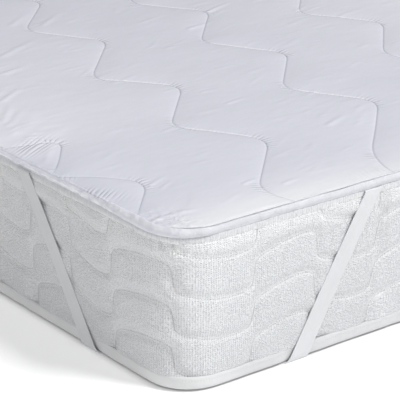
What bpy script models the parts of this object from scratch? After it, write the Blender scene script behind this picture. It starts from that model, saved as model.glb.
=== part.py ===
"""A quilted mattress topper with a bound edge and four elastic corner straps, lying on a plain mattress.

Metres, +Z up. The origin is on the floor, under the centre of the mattress. X runs across the
mattress and Y along it. On one side of the mattress, a point has three distances: along, from the
corner where two sides would meet if it were sharp, out, from the mattress's side, and its height.
"""

import math

import bmesh
import bpy
from mathutils import Vector, kdtree

# %% Driving dimensions

MATTRESS_WIDTH = 1.000
MATTRESS_LENGTH = 2.000
MATTRESS_HEIGHT = 0.210
MATTRESS_CORNER = 0.060  # radius of the upright corners, seen from above
TOP_EDGE_RADIUS = 0.025
BOTTOM_EDGE_RADIUS = 0.010
SIDE_BULGE = 0.004
BULGE_MARGIN = 0.026  # the side is straight this near the floor and the top

GAP = 0.0003  # between pieces that touch

PAD_OVERHANG = 0.0053  # how far the padding reaches past the mattress's side
PAD_EDGE_THICKNESS = 0.0095
STITCH_THICKNESS = 0.0118  # the padding where a line of stitches holds it down
PUFF = 0.0062  # how much further it rises between the lines
PUFF_REACH = 0.013  # the distance from a line over which most of the rise happens

# The quilting: where the second line turns outwards, measured from the front left corner, the
# step from one turn to the next along a line, and the step from a line to its neighbour.
QUILT_START = Vector((0.308, 0.216))
ALONG_LINE = Vector((0.049, 0.260))
TO_NEXT_LINE = Vector((0.229, 0.035))
WAVE_DEPTH = 0.415  # of the step to the next line
WAVE_FALL = 0.474  # share of a repeat in which the line runs back
WAVE_SHARPNESS = 0.865  # 1 would be a zigzag with sharp turns

BINDING_THICKNESS = 0.0012
BINDING_UNDER = 0.0153  # how far the binding reaches under the padding
BINDING_ROUND = 0.0025

TAPE_THICKNESS = 0.0015
BOTTOM_TAPE_HEIGHT = 0.0185
BOTTOM_TAPE_WRAP = math.radians(40)
TOP_TAPE_WRAP = (math.radians(24), math.radians(50))  # from the side's plane, round the top edge

STRAP_THICKNESS = 0.0011
STRAP_AT_TOP = 0.033  # the strap's width, measured along the mattress's edge
STRAP_AT_BOTTOM = 0.036
STRAP_TOP_ALONG = {"x": 0.296, "y": 0.318}  # its near edge at the binding, on each side
STRAP_BOTTOM_ALONG = 0.170
STRAP_TAB = 0.012  # how far it reaches in under the binding, from the mattress's side
STRAP_LIFT = 0.0002  # its lowest run clears the floor by this
GROOVE_CLEARANCE = 0.001

CORNER_STEPS = 10
ROW_STEP = 0.0268  # between the rows of the padding's top
COLUMN_SHARES = (0, 0.035, 0.10, 0.27, 0.5, 0.73, 0.90, 0.965)  # of the step to the next line

# %% Sizes worked out from them

HALF_X, HALF_Y = MATTRESS_WIDTH / 2, MATTRESS_LENGTH / 2
PAD_BOTTOM = MATTRESS_HEIGHT + GAP
BINDING_OUT = PAD_OVERHANG + GAP + BINDING_THICKNESS
BINDING_BOTTOM = PAD_BOTTOM - GAP - BINDING_THICKNESS
BINDING_TOP = PAD_BOTTOM + PAD_EDGE_THICKNESS + GAP + BINDING_THICKNESS
STRAP_TAB_Z = BINDING_BOTTOM - GAP - STRAP_THICKNESS / 2
STRAP_UNDER_Z = STRAP_LIFT + STRAP_THICKNESS / 2
GROOVE_DEPTH = STRAP_LIFT + STRAP_THICKNESS + GAP

CLOTH = {"white_quilted": (0.83, 0.83, 0.87), "white_binding": (0.86, 0.86, 0.90),
         "elastic": (0.80, 0.80, 0.82), "knitted_cover": (0.74, 0.75, 0.75),
         "edge_tape": (0.78, 0.78, 0.78)}


def cloth(name):
    """The material of that name, made the first time that it is asked for."""
    found = bpy.data.materials.get(name)
    if found:
        return found
    made = bpy.data.materials.new(name)
    made.use_nodes = True
    shader = made.node_tree.nodes["Principled BSDF"]
    shader.inputs["Base Color"].default_value = (*CLOTH[name], 1)
    shader.inputs["Roughness"].default_value = 0.8
    shader.inputs["Metallic"].default_value = 0
    return made


def start():
    """Empties the file, and returns the collections of the parts and of their cutters and guides."""
    for obj in list(bpy.data.objects):
        bpy.data.objects.remove(obj)
    found = []
    for name in ("topper_on_mattress", "cutters_and_guides"):
        collection = bpy.data.collections.new(name)
        bpy.context.scene.collection.children.link(collection)
        found.append(collection)
    return found


def add_mesh(bm, name, collection, material=None):
    """An object of that name from a bmesh, whose faces it turns outwards."""
    bmesh.ops.recalc_face_normals(bm, faces=bm.faces)
    mesh = bpy.data.meshes.new(name)
    bm.to_mesh(mesh)
    bm.free()
    obj = bpy.data.objects.new(name, mesh)
    collection.objects.link(obj)
    if material:
        mesh.materials.append(cloth(material))
    mesh.shade_smooth()
    mesh.set_sharp_from_angle(angle=math.radians(50))
    return obj


def hide(obj):
    """Marks a cutter or a guide, which is not a part."""
    obj.hide_render = True
    obj.display_type = "WIRE"


# %% The mattress


def side_bulge(z):
    """How far the mattress's side stands out at a height."""
    share = (z - BULGE_MARGIN) / (MATTRESS_HEIGHT - 2 * BULGE_MARGIN)
    return SIDE_BULGE * math.sin(math.pi * min(1, max(0, share)))


def outward(x, y):
    """The direction, square to the mattress's outline, that leads out at a point near that outline."""
    to_arc = Vector((max(0, abs(x) - HALF_X + MATTRESS_CORNER), max(0, abs(y) - HALF_Y + MATTRESS_CORNER)))
    if to_arc.length == 0:
        to_arc = Vector((1, 0)) if HALF_X - abs(x) < HALF_Y - abs(y) else Vector((0, 1))
    return Vector((math.copysign(to_arc.x, x), math.copysign(to_arc.y, y))).normalized()


def is_level(edge, height):
    return all(abs(v.co.z - height) < 1e-5 for v in edge.verts)


def mattress_body(parts):
    """One plain block: round upright corners, softly rounded edges and sides that stand out a little."""
    bm = bmesh.new()
    bmesh.ops.create_cube(bm, size=1)
    bmesh.ops.scale(bm, vec=(MATTRESS_WIDTH, MATTRESS_LENGTH, MATTRESS_HEIGHT), verts=bm.verts)
    bmesh.ops.translate(bm, vec=(0, 0, MATTRESS_HEIGHT / 2), verts=bm.verts)
    upright = [e for e in bm.edges if abs(e.verts[0].co.z - e.verts[1].co.z) > GAP]
    bmesh.ops.bevel(bm, geom=upright, offset=MATTRESS_CORNER, segments=CORNER_STEPS, affect="EDGES", profile=0.5)
    for height, radius, steps in ((0, BOTTOM_EDGE_RADIUS, 4), (MATTRESS_HEIGHT, TOP_EDGE_RADIUS, 5)):
        rim = [e for e in bm.edges if is_level(e, height)]
        bmesh.ops.bevel(bm, geom=rim, offset=radius, segments=steps, affect="EDGES", profile=0.5)
    for share in (0, 0.25, 0.5, 0.75, 1):
        level = BULGE_MARGIN + share * (MATTRESS_HEIGHT - 2 * BULGE_MARGIN)
        geometry = bm.verts[:] + bm.edges[:] + bm.faces[:]
        bmesh.ops.bisect_plane(bm, geom=geometry, plane_co=(0, 0, level), plane_no=(0, 0, 1), dist=1e-5)
    for v in bm.verts:
        v.co += outward(v.co.x, v.co.y).to_3d() * side_bulge(v.co.z)
    return add_mesh(bm, "mattress_body", parts, "knitted_cover")


def outline(out, steps=CORNER_STEPS):
    """The mattress's outline moved out by that much, anticlockwise from above."""
    radius = MATTRESS_CORNER + out
    points = []
    for quarter, (sx, sy) in enumerate(((1, 1), (-1, 1), (-1, -1), (1, -1))):
        centre = Vector((sx * (HALF_X - MATTRESS_CORNER), sy * (HALF_Y - MATTRESS_CORNER)))
        for k in range(steps + 1):
            angle = math.radians(90) * (quarter + k / steps)
            points.append(centre + radius * Vector((math.cos(angle), math.sin(angle))))
    return points


def closed_curve(name, points, collection):
    """A closed run of straight pieces through points of two or three coordinates."""
    curve = bpy.data.curves.new(name, "CURVE")
    curve.dimensions = "3D"
    curve.twist_mode = "Z_UP"
    spline = curve.splines.new("POLY")
    spline.points.add(len(points) - 1)
    for slot, point in zip(spline.points, points):
        slot.co = (*point, 0, 1) if len(point) == 2 else (*point, 1)
    spline.use_cyclic_u = True
    obj = bpy.data.objects.new(name, curve)
    collection.objects.link(obj)
    return obj


def edge_strip(name, section, parts, guides, material):
    """A strip of cloth all round the mattress, from its section: points of (out, height), anticlockwise."""
    profile = closed_curve(name + "_section", section[::-1], guides)
    profile.data.dimensions = "2D"
    hide(profile)
    strip = closed_curve(name, outline(0), parts)
    strip.data.bevel_mode = "OBJECT"
    strip.data.bevel_object = profile
    strip.data.materials.append(cloth(material))
    return strip


def arc_section(centre, inner, outer, angles):
    """The section of a strip that follows an arc upwards, with its outer face and then its inner face."""
    def point(radius, angle):
        return (centre[0] + radius * math.cos(angle), centre[1] + radius * math.sin(angle))
    return [point(outer, a) for a in angles] + [point(inner, a) for a in reversed(angles)]


def bottom_tape(parts, guides):
    """A flat tape over the seam between side and underside, which turns in under the lower edge."""
    centre = (-BOTTOM_EDGE_RADIUS, BOTTOM_EDGE_RADIUS)
    inner = BOTTOM_EDGE_RADIUS + GAP
    outer = inner + TAPE_THICKNESS
    angles = [-BOTTOM_TAPE_WRAP * k / 3 for k in range(3, -1, -1)]
    turned = arc_section(centre, inner, outer, angles)
    half = len(angles)
    section = turned[:half] + [(GAP + TAPE_THICKNESS, BOTTOM_TAPE_HEIGHT), (GAP, BOTTOM_TAPE_HEIGHT)] + turned[half:]
    return edge_strip("mattress_bottom_tape", section, parts, guides, "edge_tape")


def top_tape(parts, guides):
    """The same tape round the upper edge, of which a strip shows below the topper."""
    centre = (-TOP_EDGE_RADIUS, MATTRESS_HEIGHT - TOP_EDGE_RADIUS)
    inner = TOP_EDGE_RADIUS + GAP
    low, high = TOP_TAPE_WRAP
    angles = [low + (high - low) * k / 3 for k in range(4)]
    section = arc_section(centre, inner, inner + TAPE_THICKNESS, angles)
    return edge_strip("mattress_top_tape", section, parts, guides, "edge_tape")


# %% The quilted padding


def wave(u):
    """How far a line of stitches runs back from its outer turns, as a share of the step between lines."""
    u -= math.floor(u)
    turn = u / (2 * WAVE_FALL) if u < WAVE_FALL else (1 + (u - WAVE_FALL) / (1 - WAVE_FALL)) / 2
    swing = math.asin(WAVE_SHARPNESS * math.cos(2 * math.pi * turn)) / math.asin(WAVE_SHARPNESS)
    return -WAVE_DEPTH * (1 - swing) / 2


def quilt_x(line, y):
    """Where a line of stitches, or a share of the way to the next one, crosses the row at y."""
    start_x, start_y = QUILT_START.x - HALF_X, QUILT_START.y - HALF_Y
    u = 0
    for _ in range(6):
        u = (y - start_y - (line + wave(u)) * TO_NEXT_LINE.y) / ALONG_LINE.y
    return start_x + u * ALONG_LINE.x + (line + wave(u)) * TO_NEXT_LINE.x


def stitch_lines(half_x, half_y):
    """The numbers of the lines that cross the padding, and a margin of one each way."""
    corners = [(sx * half_x, sy * half_y) for sx in (-1, 1) for sy in (-1, 1)]
    numbers = [(x - quilt_x(0, y)) / TO_NEXT_LINE.x for x, y in corners]
    return range(math.floor(min(numbers)) - 1, math.ceil(max(numbers)) + 2)


def stitch_tree(half_x, half_y, step=0.004):
    """Points along every line of stitches, for finding the distance to the nearest one."""
    points = []
    for line in stitch_lines(half_x, half_y):
        for k in range(int(2 * half_y / step) + 1):
            y = -half_y + k * step
            x = quilt_x(line, y)
            if abs(x) < half_x + PUFF_REACH:
                points.append(Vector((x, y, 0)))
    tree = kdtree.KDTree(len(points))
    for number, point in enumerate(points):
        tree.insert(point, number)
    tree.balance()
    return tree


def quilted_height(tree, x, y):
    """The top of the padding: low along the stitches and full between them."""
    distance = tree.find(Vector((x, y, 0)))[2]
    return PAD_BOTTOM + STITCH_THICKNESS + PUFF * (1 - math.exp(-distance / PUFF_REACH))


def rounded(x, y, half_x, half_y, radius):
    """A point of a rectangle, moved so that the rectangle's corners come out round."""
    dx, dy = abs(x) - (half_x - radius), abs(y) - (half_y - radius)
    if dx <= 0 or dy <= 0:
        return x, y
    shrink = max(dx, dy) / math.hypot(dx, dy)
    return math.copysign(half_x - radius + dx * shrink, x), math.copysign(half_y - radius + dy * shrink, y)


def quilted_grid(half_x, half_y):
    """A grid whose columns follow the lines of stitches, cut off straight at the padding's sides."""
    lines = [line + share for line in stitch_lines(half_x, half_y) for share in COLUMN_SHARES]
    rows = round(2 * half_y / ROW_STEP)
    bm = bmesh.new()
    bmesh.ops.create_grid(bm, x_segments=len(lines) - 1, y_segments=rows, size=0.5)
    for v in bm.verts:
        column = round((v.co.x + 0.5) * (len(lines) - 1))
        y = v.co.y * 2 * half_y
        x = quilt_x(lines[column], y)
        near_side = half_x - abs(x) < PUFF_REACH / 3
        v.co = (math.copysign(half_x, x) if near_side else x, y, 0)
    bmesh.ops.remove_doubles(bm, verts=bm.verts, dist=1e-5)
    return bm


def pad_top(half_x, half_y, radius):
    """The quilted top inside the rim, with round corners, and its boundary edges."""
    bm = quilted_grid(half_x, half_y)
    zone = radius * 1.5
    cornered = [e for e in bm.edges if e.is_boundary and all(
        half_x - abs(v.co.x) < zone and half_y - abs(v.co.y) < zone for v in e.verts)]
    bmesh.ops.subdivide_edges(bm, edges=cornered, cuts=2)
    tree = stitch_tree(half_x, half_y)
    for v in bm.verts:
        x, y = rounded(v.co.x, v.co.y, half_x, half_y, radius)
        v.co = (x, y, quilted_height(tree, x, y))
    return bm, [e for e in bm.edges if e.is_boundary]


# The rim's rings, from the top down to the underside: how far each lies in from the padding's
# side, its height over the underside, and the share of the inner edge's further height it keeps.
RIM_INSET = 0.022
RIM_RINGS = ((0.0100, PAD_EDGE_THICKNESS, 0.93), (0.0050, PAD_EDGE_THICKNESS, 0.70),
             (0.0022, PAD_EDGE_THICKNESS, 0), (0, PAD_EDGE_THICKNESS - 0.0016, 0),
             (0, 0.0016, 0), (0.0018, 0, 0))


def topper_pad(parts):
    """One filled piece: quilted on top, drawn down to its bound rim, and flat below."""
    out = PAD_OVERHANG - RIM_INSET
    bm, edges = pad_top(HALF_X + out, HALF_Y + out, MATTRESS_CORNER + out)
    slot_top = PAD_BOTTOM + PAD_EDGE_THICKNESS
    inner_height = {}
    inset = RIM_INSET
    for next_inset, height, keep in RIM_RINGS:
        made = bmesh.ops.extrude_edge_only(bm, edges=edges)["geom"]
        for v in (g for g in made if isinstance(g, bmesh.types.BMVert)):
            near = outward(v.co.x, v.co.y)
            place = (round(near.x, 4), round(near.y, 4), round(v.co.x * near.y - v.co.y * near.x, 4))
            rise = inner_height.setdefault(place, v.co.z - slot_top)
            v.co += near.to_3d() * (inset - next_inset)
            v.co.z = PAD_BOTTOM + height + keep * rise
        edges = [g for g in made if isinstance(g, bmesh.types.BMEdge) and g.is_boundary]
        inset = next_inset
    bmesh.ops.holes_fill(bm, edges=edges, sides=0)
    return add_mesh(bm, "topper_pad", parts, "white_quilted")


def binding(parts, guides):
    """A folded strip round the padding's edge: under it, up its side, and into the seam on top."""
    t, r = BINDING_THICKNESS, BINDING_ROUND
    low, high, out = BINDING_BOTTOM, BINDING_TOP, BINDING_OUT
    inner_end = out - BINDING_UNDER
    tip = out - r - 0.0004
    section = [(inner_end, low), (out - r, low), (out - 0.3 * r, low + 0.3 * r), (out, low + r),
               (out + 0.0006, (low + high) / 2), (out, high - r), (out - 0.3 * r, high - 0.3 * r),
               (out - r, high), (tip, high - 0.2 * t), (tip, high - 0.9 * t), (out - r, high - t),
               (out - t, high - r), (out - t, low + r), (out - r, low + t), (inner_end, low + t)]
    return edge_strip("topper_binding", section, parts, guides, "white_binding")


# %% The elastic corner straps


def strap_run(side):
    """The strap's way down one side, from its end under the binding: (near edge along, out, height)."""
    top = STRAP_TOP_ALONG[side]
    bend = 0.0016
    hang_out = BINDING_OUT - 0.0012
    foot = BOTTOM_EDGE_RADIUS + GAP + TAPE_THICKNESS + GAP + STRAP_THICKNESS / 2
    low_out = foot - BOTTOM_EDGE_RADIUS
    run = [(top, -STRAP_TAB, STRAP_TAB_Z), (top, hang_out - 2 * bend, STRAP_TAB_Z),
           (top, hang_out - 0.6 * bend, STRAP_TAB_Z - 0.4 * bend), (top, hang_out, STRAP_TAB_Z - 1.6 * bend)]
    high, low = STRAP_TAB_Z - 1.6 * bend, BOTTOM_EDGE_RADIUS
    wrap = math.asin((BOTTOM_EDGE_RADIUS - STRAP_UNDER_Z) / foot)
    wrap_length = foot * wrap
    slope = (top - STRAP_BOTTOM_ALONG) / (high - low + wrap_length)
    steps = 8
    for k in range(1, steps + 1):
        share = k / steps
        z = high + (low - high) * share
        straight = hang_out + (low_out - hang_out) * share
        over_side = side_bulge(z) + GAP + STRAP_THICKNESS
        run.append((top - slope * (high - z), max(straight, over_side), z))
    for k in range(1, 5):
        angle = wrap * k / 4
        along = top - slope * (high - low + foot * angle)
        run.append((along, foot * math.cos(angle) - BOTTOM_EDGE_RADIUS, BOTTOM_EDGE_RADIUS - foot * math.sin(angle)))
    return run


def strap_width(z):
    """The width along the mattress's edge at a height."""
    return STRAP_AT_BOTTOM + (STRAP_AT_TOP - STRAP_AT_BOTTOM) * z / MATTRESS_HEIGHT


def corner_point(side, along, out, z):
    """A point beside the front left corner, from its distances."""
    if side == "x":
        return Vector((-HALF_X + along, -HALF_Y - out, z))
    return Vector((-HALF_X - out, -HALF_Y + along, z))


def strap_edges():
    """The strap's near and far edge, from under the binding on one side, under the mattress, to the other."""
    near, far = [], []
    for side, run in (("x", strap_run("x")), ("y", strap_run("y")[::-1])):
        if side == "y":
            share_steps = (0.25, 0.5, 0.75)
            ends = [corner_point("y", *run[0])], [corner_point("y", run[0][0] + STRAP_AT_BOTTOM, *run[0][1:])]
            for edge, (end,) in zip((near, far), ends):
                begin = edge[-1].copy()
                edge.extend(begin.lerp(end, share) for share in share_steps)
        for along, out, z in run:
            near.append(corner_point(side, along, out, z))
            far.append(corner_point(side, along + strap_width(z), out, z))
    return near, far


def straps(parts):
    """Four straps, one round each corner: an open ribbon that Solidify makes thick."""
    near, far = strap_edges()
    made = []
    for name, sx, sy in (("front_left", 1, 1), ("front_right", -1, 1), ("back_right", -1, -1), ("back_left", 1, -1)):
        bm = bmesh.new()
        bmesh.ops.create_grid(bm, x_segments=1, y_segments=len(near) - 1, size=0.5)
        for v in bm.verts:
            station = round((v.co.y + 0.5) * (len(near) - 1))
            edge = near if v.co.x < 0 else far
            v.co = (sx * edge[station].x, sy * edge[station].y, edge[station].z)
        obj = add_mesh(bm, f"corner_strap_{name}", parts, "elastic")
        thick = obj.modifiers.new("thickness", "SOLIDIFY")
        thick.thickness = STRAP_THICKNESS
        thick.offset = 0
        thick.use_even_offset = True
        made.append(obj)
    return made


def strap_grooves(body, cutters):
    """Presses a groove into the mattress's underside for each strap, so that it still lies flat."""
    along, out, _ = strap_run("x")[-1]
    reach = along - out + STRAP_AT_BOTTOM / 2
    width = STRAP_AT_BOTTOM / math.sqrt(2) + 2 * GROOVE_CLEARANCE
    for number, (sx, sy) in enumerate(((1, 1), (-1, 1), (-1, -1), (1, -1))):
        bm = bmesh.new()
        bmesh.ops.create_cube(bm, size=1)
        bmesh.ops.scale(bm, vec=(2 * reach, width, 2 * GROOVE_DEPTH), verts=bm.verts)
        cutter = add_mesh(bm, f"groove_cutter_{number}", cutters)
        cutter.location = (sx * (reach / 2 - HALF_X), sy * (reach / 2 - HALF_Y), 0)
        cutter.rotation_euler = (0, 0, math.radians(-45 * sx * sy))
        hide(cutter)
        cut = body.modifiers.new(f"groove_{number}", "BOOLEAN")
        cut.operation = "DIFFERENCE"
        cut.object = cutter


def main():
    parts, helpers = start()
    body = mattress_body(parts)
    strap_grooves(body, helpers)
    bottom_tape(parts, helpers)
    top_tape(parts, helpers)
    topper_pad(parts)
    binding(parts, helpers)
    straps(parts)


main()
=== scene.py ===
# %% [markdown]
# # A quilted mattress topper on its mattress
#
# The topper is a thin filled pad, quilted along rounded zigzag lines and bound round its edge. Four
# elastic straps, one at each corner, run from its edge down the mattress's sides and under its
# corner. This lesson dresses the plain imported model: each soft piece gets its own finer mesh, in the
# same place and size, and a material with the weave, the stitches and the small creases.

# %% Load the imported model
import math

import bmesh
import bpy
import numpy as np
from mathutils import Matrix, Vector, kdtree


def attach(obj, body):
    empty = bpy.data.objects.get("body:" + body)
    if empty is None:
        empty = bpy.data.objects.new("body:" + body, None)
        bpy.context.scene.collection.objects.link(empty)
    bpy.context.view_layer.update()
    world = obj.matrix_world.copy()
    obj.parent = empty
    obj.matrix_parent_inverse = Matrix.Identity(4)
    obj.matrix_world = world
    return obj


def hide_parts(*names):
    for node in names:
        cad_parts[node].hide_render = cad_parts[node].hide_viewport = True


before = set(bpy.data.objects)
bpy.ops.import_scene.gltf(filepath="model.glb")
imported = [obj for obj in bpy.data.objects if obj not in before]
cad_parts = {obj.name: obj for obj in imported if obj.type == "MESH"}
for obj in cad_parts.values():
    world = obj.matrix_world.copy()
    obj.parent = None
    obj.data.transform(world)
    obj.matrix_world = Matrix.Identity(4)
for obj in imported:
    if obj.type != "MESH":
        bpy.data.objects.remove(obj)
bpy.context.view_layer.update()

# %% [markdown]
# ## Sizes
#
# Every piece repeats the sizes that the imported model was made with, in metres. The origin is on the
# floor under the middle of the mattress, X runs across it and Y along it.

# %% Sizes of the mattress and of the topper's edge
HALF_X, HALF_Y = 0.5, 1.0
MATTRESS_HEIGHT = 0.210
CORNER_RADIUS = 0.060
BOTTOM_EDGE_RADIUS = 0.010
SEAM_OUT = 0.0046  # how far the topper's seam lies outside the mattress's side
SEAM_HEIGHT = 0.2202
PAD_BOTTOM = 0.2108
CORNERS = ((-1, -1), (1, -1), (1, 1), (-1, 1))  # the near one first, then anticlockwise
print("mattress", 2 * HALF_X, "x", 2 * HALF_Y, "x", MATTRESS_HEIGHT)

# %% [markdown]
# ## The camera
#
# The photograph was taken with a long lens from a little above the mattress, with the near corner
# in the middle. The lens and the place come from the directions in which the mattress's straight
# edges run in the picture, and the small roll is the photograph's own.

# %% Camera
CAMERA_PLACE = Vector((-HALF_X - 1.3276, -HALF_Y - 1.7877, 1.1306))
CAMERA_PITCH, CAMERA_YAW, CAMERA_ROLL = math.radians(21.24), math.radians(52.70), 0.00489
FOCAL_PIXELS, PICTURE_PIXELS = 2014.15, 400  # the lens, in the photograph's own pixels, and its width

camera = bpy.data.objects.new("camera", bpy.data.cameras.new("camera"))
bpy.context.scene.collection.objects.link(camera)
camera.data.sensor_width = 36
camera.data.lens = camera.data.sensor_width * FOCAL_PIXELS / PICTURE_PIXELS
ahead = Vector((math.cos(CAMERA_PITCH) * math.cos(CAMERA_YAW),
                math.cos(CAMERA_PITCH) * math.sin(CAMERA_YAW), -math.sin(CAMERA_PITCH)))
level_right = Vector((math.sin(CAMERA_YAW), -math.cos(CAMERA_YAW), 0))
level_down = ahead.cross(level_right)
right = level_right * math.cos(CAMERA_ROLL) + level_down * math.sin(CAMERA_ROLL)
down = level_down * math.cos(CAMERA_ROLL) - level_right * math.sin(CAMERA_ROLL)
turned = Matrix((right, -down, -ahead)).transposed()
camera.matrix_world = Matrix.LocRotScale(CAMERA_PLACE, turned.to_quaternion(), None)
bpy.context.scene.camera = camera
print("lens", round(camera.data.lens, 1), "mm")

# %% [markdown]
# ## Floor and light
#
# The mattress stands in a white studio: the floor goes into the background without an edge, so it
# glows a little as well as catching the soft shadow. One large lamp hangs high to the right of the
# camera, which lights the short side and lets every crease on top throw a small shadow. A weaker
# one hangs to the left. The long side has little but its light and the white room's, so it is darker.

# %% Floor
def deselect():
    for obj in bpy.context.selected_objects:
        obj.select_set(False)


def pick(obj):
    """Leaves one object selected and active, so that an operator acts on it alone."""
    deselect()
    bpy.context.view_layer.objects.active = obj
    obj.select_set(True)


deselect()
bpy.ops.mesh.primitive_circle_add(vertices=64, radius=30, fill_type="NGON", location=(0, 0, 0))
floor = bpy.context.object
floor.name = floor.data.name = "floor"
print("floor:", round(floor.dimensions.x), "m across")

# %% Lamps
LIT_PLACE = Vector((-0.2, -0.6, 0.1))  # the lamps point at the near part of the mattress


def area_lamp(name, place, size, power):
    lamp = bpy.data.objects.new(name, bpy.data.lights.new(name, "AREA"))
    bpy.context.scene.collection.objects.link(lamp)
    lamp.data.shape = "DISK"
    lamp.data.size = size
    lamp.data.energy = power
    away = Vector(place) - LIT_PLACE
    lamp.matrix_world = Matrix.LocRotScale(Vector(place), away.to_track_quat("Z", "Y"), None)
    return lamp


key = area_lamp("key_lamp", (2.23, -5.19, 6.31), 1.9, 410)
fill = area_lamp("fill_lamp", (-3.4, -3.0, 4.0), 3.0, 62)
world = bpy.data.worlds.new("white_room")
world.use_nodes = True
world.node_tree.nodes["Background"].inputs["Color"].default_value = (1, 1, 1, 1)
world.node_tree.nodes["Background"].inputs["Strength"].default_value = 0.24
bpy.context.scene.world = world
bpy.context.scene.view_settings.view_transform = "Standard"
print("lamps:", key.name, fill.name)

# %% [markdown]
# ## Cloth as a grid of points
#
# Sewn cloth could be drawn with a cloth simulation, but here the creases have known places: along
# stitches, round turns and at the straps. So each piece starts as a flat grid, and every point of the
# grid is put where the cloth goes there. NumPy moves all the points at once. A place in metres along
# and across the cloth is kept as a UV map, so that weave and stitches follow the cloth.

# %% Making a grid and moving its points
def flat_grid(name, columns, rows):
    """A grid of that many cells, and the column and row number of each of its points."""
    deselect()
    bpy.ops.mesh.primitive_grid_add(x_subdivisions=columns, y_subdivisions=rows, size=1)
    obj = bpy.context.object
    obj.name = obj.data.name = name
    while obj.data.uv_layers:
        obj.data.uv_layers.remove(obj.data.uv_layers[0])
    place = points_of(obj)
    column = np.rint((place[:, 0] + 0.5) * columns).astype(int)
    row = np.rint((place[:, 1] + 0.5) * rows).astype(int)
    return obj, column, row


def points_of(obj):
    flat = np.empty(len(obj.data.vertices) * 3)
    obj.data.vertices.foreach_get("co", flat)
    return flat.reshape(-1, 3)


def put_points(obj, points):
    obj.data.vertices.foreach_set("co", np.asarray(points, dtype=float).ravel())
    obj.data.update()


def keep_place(obj, across, along, name="cloth"):
    """Stores two numbers of each point as a UV map."""
    corner_point = np.empty(len(obj.data.loops), dtype=int)
    obj.data.loops.foreach_get("vertex_index", corner_point)
    pair = np.stack([across[corner_point], along[corner_point]], axis=1)
    layer = obj.data.uv_layers.new(name=name)
    layer.data.foreach_set("uv", pair.astype(np.float32).ravel())


def edit(obj, *steps):
    """Runs operators on all of one mesh in edit mode."""
    pick(obj)
    bpy.ops.object.mode_set(mode="EDIT")
    bpy.ops.mesh.select_all(action="SELECT")
    for step in steps:
        step()
    bpy.ops.object.mode_set(mode="OBJECT")


def merge_seam():
    bpy.ops.mesh.remove_doubles(threshold=1e-6)


def face_out():
    bpy.ops.mesh.normals_make_consistent(inside=False)


def smooth(obj, sharper_than=None):
    pick(obj)
    if sharper_than is None:
        bpy.ops.object.shade_smooth()
    else:
        bpy.ops.object.shade_smooth_by_angle(angle=math.radians(sharper_than))


# %% [markdown]
# Real cloth is never even. These two helpers give smooth random values: one along an edge that
# closes on itself, and one over a surface. A fixed seed gives the same cloth each time.

# %% Smooth random values
def uneven_along(run, spacing, seed, around):
    """From -1 to 1, with a new value about every spacing metres, and the same again after each round."""
    cells = max(3, round(around / spacing))
    values = np.random.default_rng(seed).uniform(-1, 1, cells)
    cell = np.asarray(run) / (around / cells)
    low = np.floor(cell).astype(int)
    share = cell - low
    share = share * share * (3 - 2 * share)
    return values[low % cells] * (1 - share) + values[(low + 1) % cells] * share


def uneven_over(x, y, spacing, seed):
    """From -1 to 1, with a new value about every spacing metres both ways."""
    cells = 256
    values = np.random.default_rng(seed).uniform(-1, 1, (cells, cells))
    cell_x, cell_y = x / spacing, y / spacing
    low_x, low_y = np.floor(cell_x).astype(int), np.floor(cell_y).astype(int)
    share_x, share_y = cell_x - low_x, cell_y - low_y
    share_x, share_y = share_x**2 * (3 - 2 * share_x), share_y**2 * (3 - 2 * share_y)
    near, far = (values[low_x % cells, (low_y + k) % cells] * (1 - share_x)
                 + values[(low_x + 1) % cells, (low_y + k) % cells] * share_x for k in (0, 1))
    return near * (1 - share_y) + far * share_y


print("the same random values each time:", np.round(uneven_along([0.0, 0.5, 1.0], 0.1, 1, 2.0), 3))


# %% [markdown]
# ## Going round the mattress
#
# Binding, tapes and side cover all go round the same outline: a rectangle with round corners. A
# distance along it, measured from the middle of the near corner, gives a point and the direction
# that leads out. It is negative on the long side that the camera sees, and positive on the short one.

# %% The outline
def outline_table():
    """Rows of x, y and outward angle, anticlockwise from the middle of the near corner."""
    arcs = []
    for side_x, side_y, low, high in ((-1, -1, 225, 270), (1, -1, 270, 360), (1, 1, 360, 450),
                                      (-1, 1, 450, 540), (-1, -1, 540, 585)):
        angle = np.radians(np.arange(low, high + 0.1, 1.5))
        x = side_x * (HALF_X - CORNER_RADIUS) + CORNER_RADIUS * np.cos(angle)
        y = side_y * (HALF_Y - CORNER_RADIUS) + CORNER_RADIUS * np.sin(angle)
        arcs.append(np.stack([x, y, angle], axis=1))
    return np.concatenate(arcs)


OUTLINE = outline_table()
OUTLINE_RUN = np.concatenate([[0], np.cumsum(np.hypot(np.diff(OUTLINE[:, 0]), np.diff(OUTLINE[:, 1])))])
PERIMETER = float(OUTLINE_RUN[-1])
SIDE_RUN = 2 * HALF_Y - 2 * CORNER_RADIUS
END_RUN = 2 * HALF_X - 2 * CORNER_RADIUS
QUARTER = math.pi * CORNER_RADIUS / 2
CORNER_RUNS = (0, END_RUN + QUARTER, END_RUN + SIDE_RUN + 2 * QUARTER, 2 * END_RUN + SIDE_RUN + 3 * QUARTER)
print("once round the mattress:", round(PERIMETER, 3), "m")


# %% Places on the outline
def signed(run):
    """The same distance, but from minus half a round to plus half a round."""
    return (run + PERIMETER / 2) % PERIMETER - PERIMETER / 2


def uneven_round(run, *waves):
    """Uneven values round the mattress: the sum of some waves, each with a size, a spacing and a seed."""
    return sum(size * uneven_along(run, spacing, seed, PERIMETER) for size, spacing, seed in waves)


def on_outline(run):
    """The points of the outline at these distances along it, and the outward directions there."""
    x, y, angle = (np.interp(run % PERIMETER, OUTLINE_RUN, OUTLINE[:, k]) for k in range(3))
    return np.stack([x, y], axis=-1), np.stack([np.cos(angle), np.sin(angle)], axis=-1)


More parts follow.
